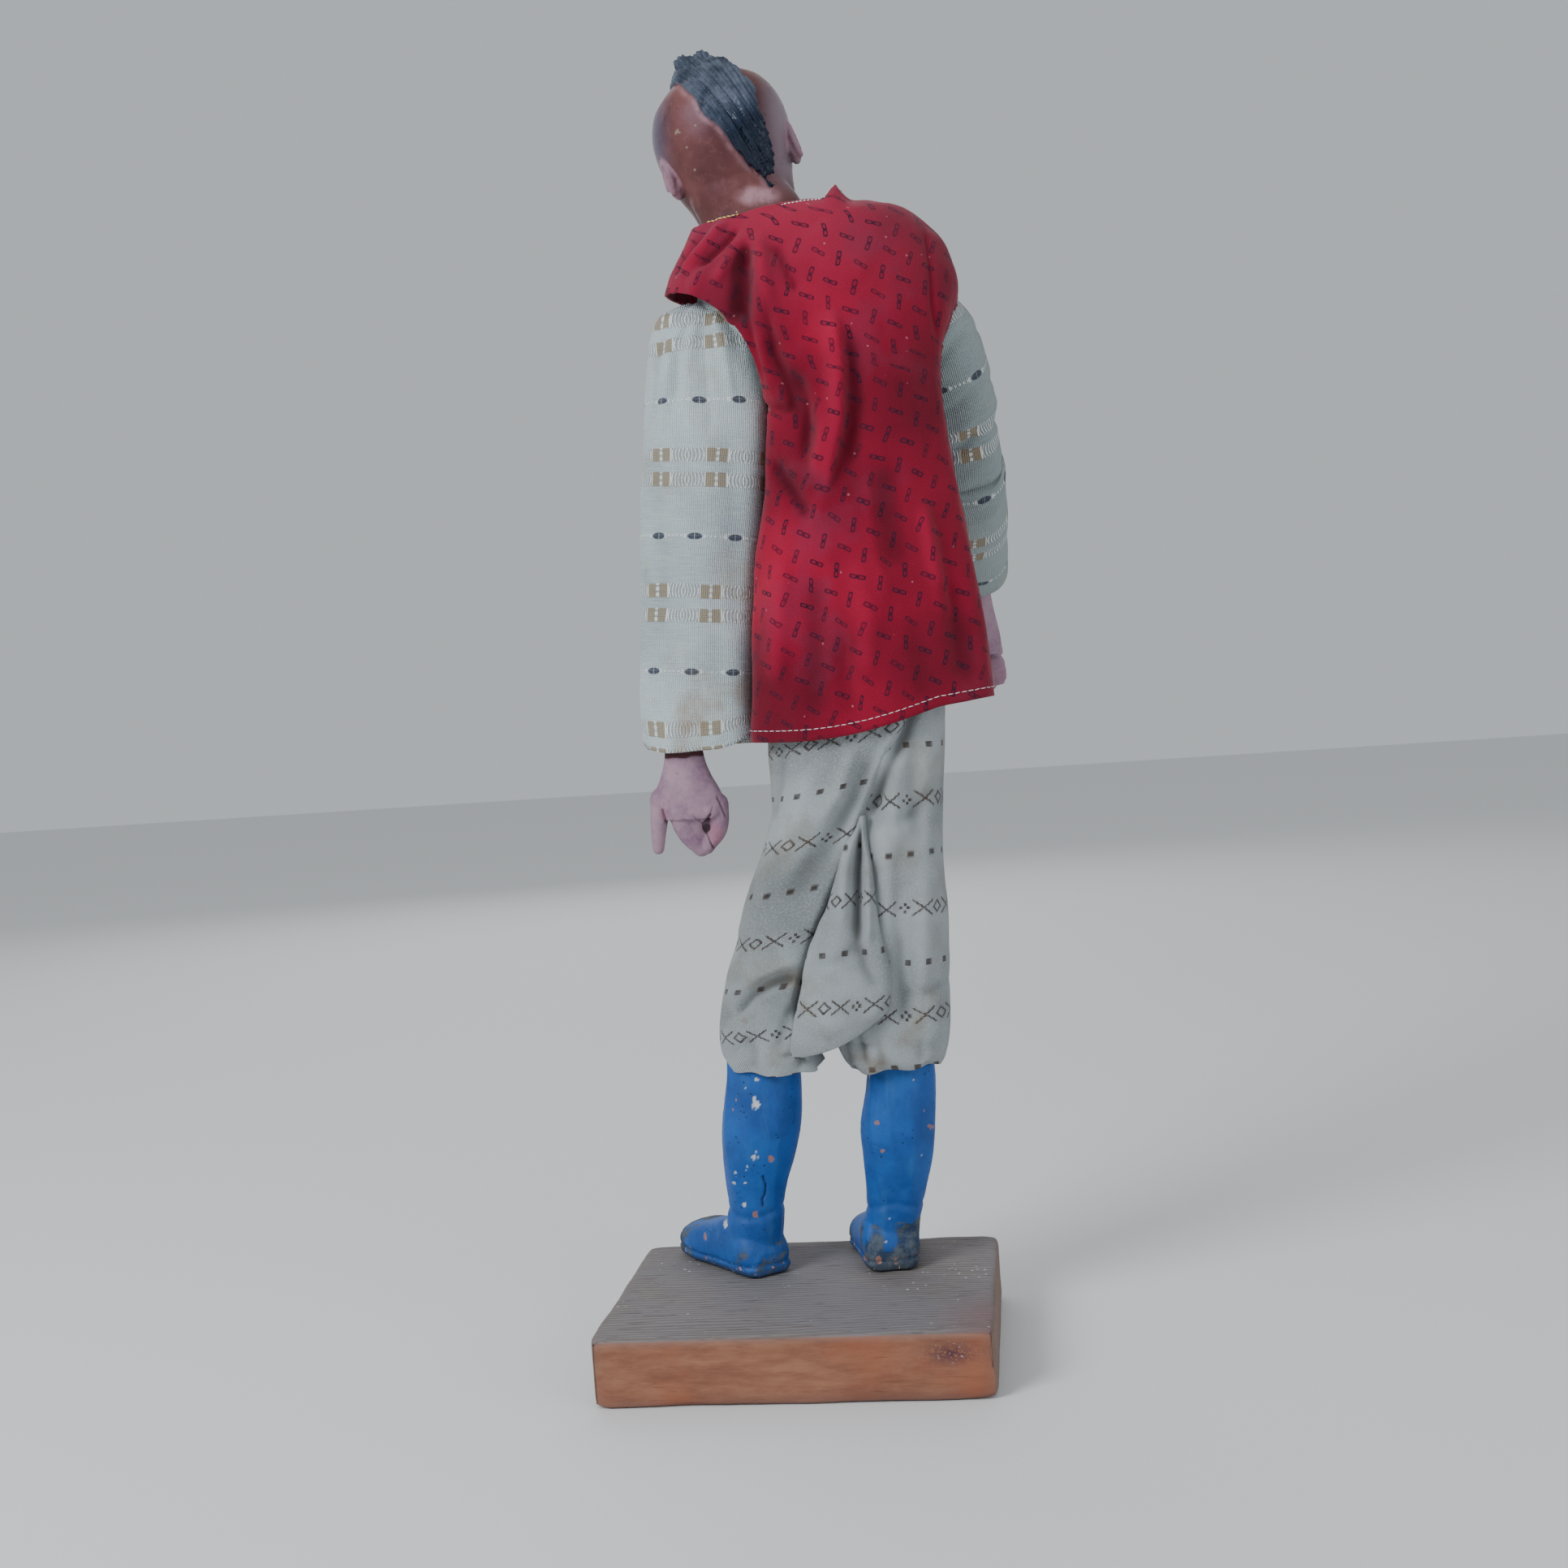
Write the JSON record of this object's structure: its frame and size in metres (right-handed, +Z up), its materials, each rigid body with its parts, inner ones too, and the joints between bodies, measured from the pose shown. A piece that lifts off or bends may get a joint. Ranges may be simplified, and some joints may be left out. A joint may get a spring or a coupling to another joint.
{
  "type": "nativity figure",
  "caption": "Standing crib figure of a man with a forelock, in painted carving and real sewn clothes, on a wooden block.",
  "frame": {"origin": "middle of the wooden block's flat underside", "axes": "+Z up through the figure, -Y the way the figure faces, +X the side of the figure's left hand"},
  "size_m": [0.135, 0.1663, 0.4023],
  "materials": {
    "base": "worn, unvarnished wood, weathered grey on top",
    "head": "painted carving, satin brown skin, dark forelock",
    "left_hand": "painted carving, matte pinkish grey",
    "right_hand": "painted carving, matte pinkish grey",
    "left_leg": "painted carving, matte blue boot with chips",
    "right_leg": "painted carving, matte blue boot with chips",
    "shirt": "ribbed cream cotton with woven gold, white and navy bands",
    "vest": "brushed red cotton with a small navy print",
    "trousers": "coarse cream weave with a brown woven pattern"
  },
  "bodies": {
    "root": {"base": "base", "head": "head", "left_hand": "left_hand", "right_hand": "right_hand", "left_leg": "left_leg", "right_leg": "right_leg", "shirt": "shirt", "vest": "vest", "trousers": "trousers"}
  },
  "joints": []
}
